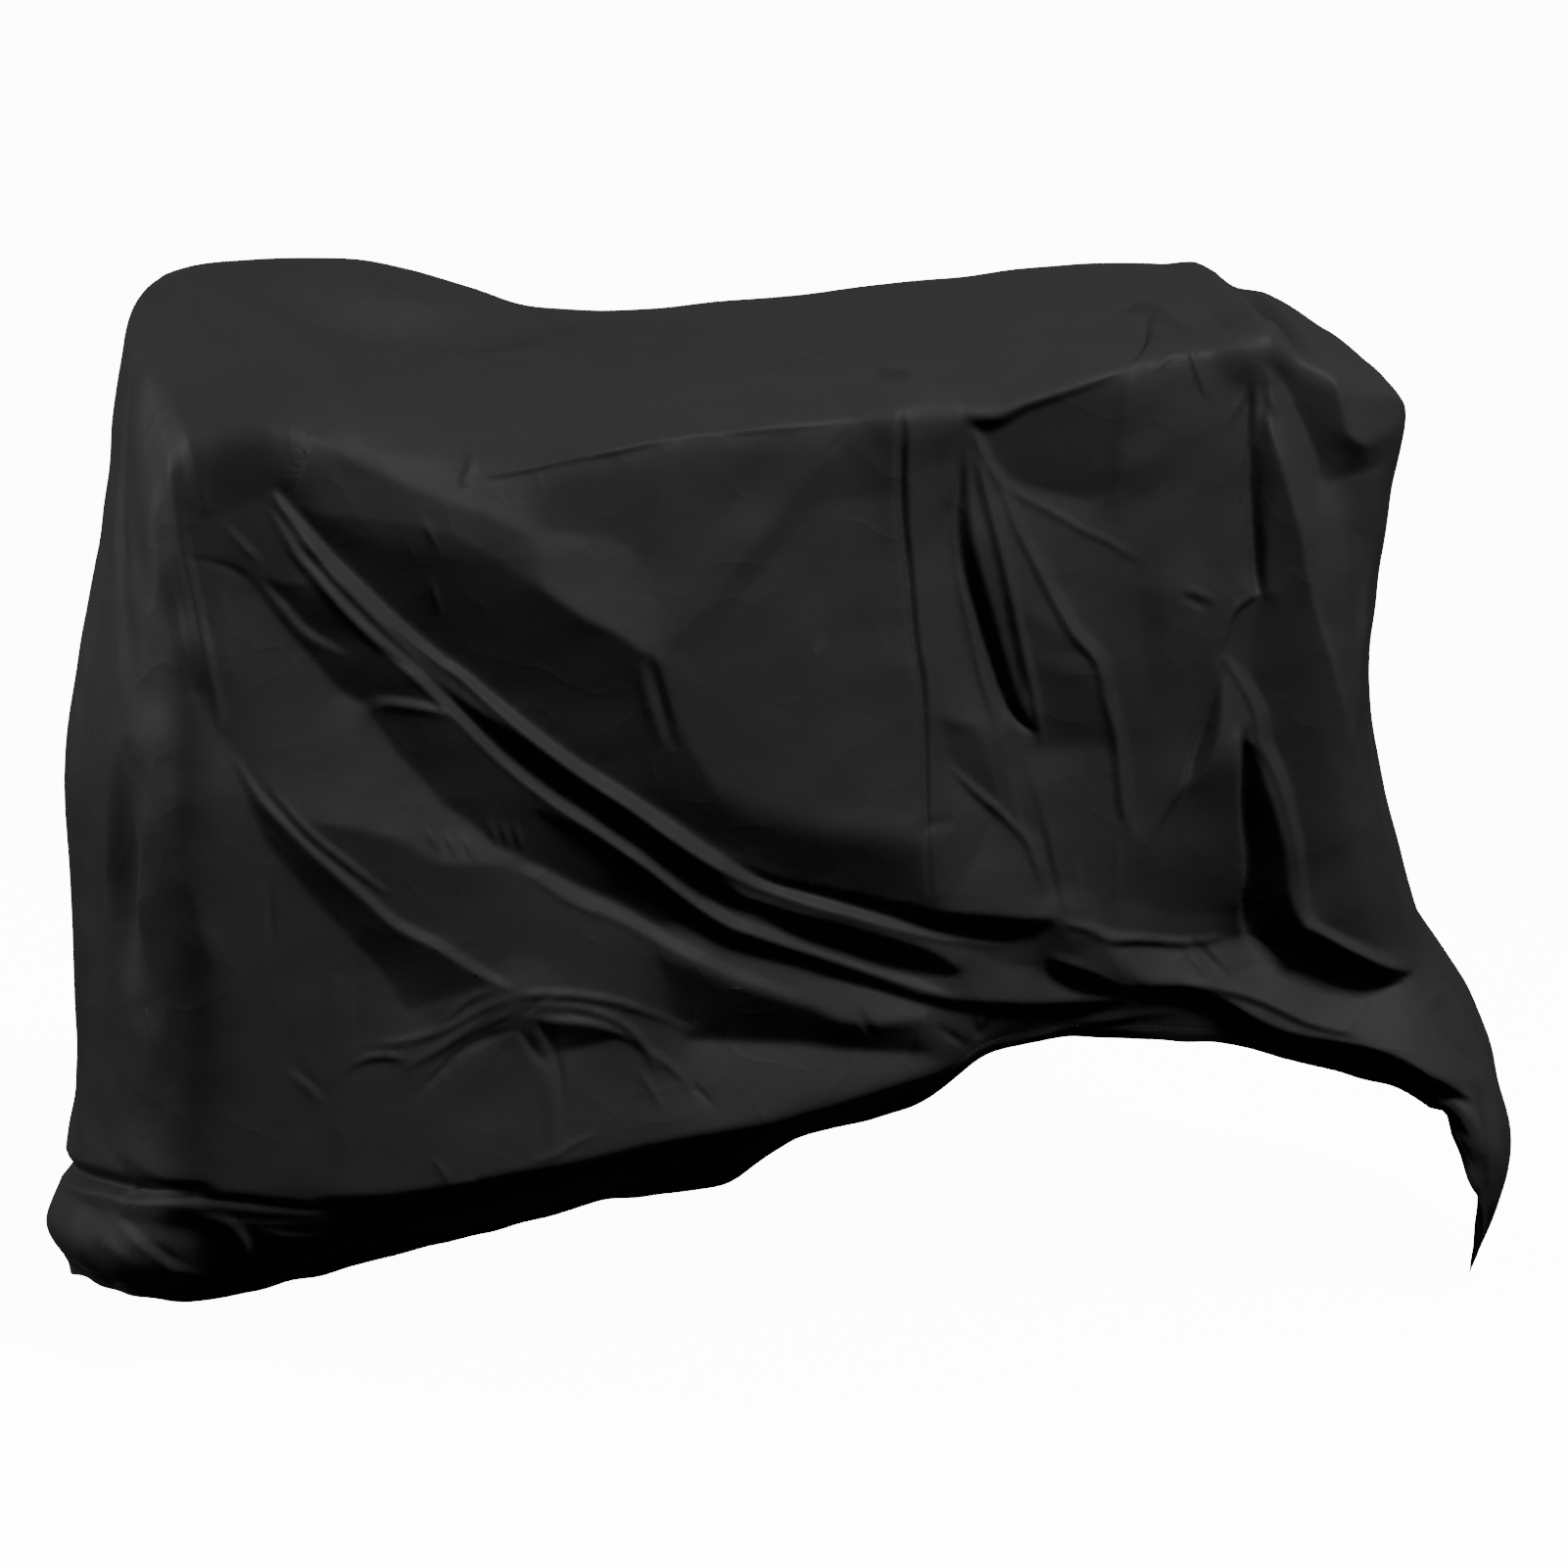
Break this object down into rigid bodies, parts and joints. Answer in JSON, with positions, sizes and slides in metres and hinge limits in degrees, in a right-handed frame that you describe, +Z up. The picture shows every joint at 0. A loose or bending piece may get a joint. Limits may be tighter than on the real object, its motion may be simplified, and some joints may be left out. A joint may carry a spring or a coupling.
{
  "type": "motor scooter cover",
  "caption": "Fitted cloth cover for a motor scooter: a hollow draped shell with deep slanting folds, open below, with a drawn-in elastic hem.",
  "frame": {"origin": "middle of the cover's box in plan, at the height of its lowest hem", "axes": "+X from the front end to the back end, +Y from the near side to the far side, +Z up"},
  "size_m": [1.714, 0.6516, 1.1959],
  "materials": {
    "black_cloth": "satin, smooth close weave"
  },
  "bodies": {
    "root": {"cover_cloth": "black_cloth"}
  },
  "joints": []
}
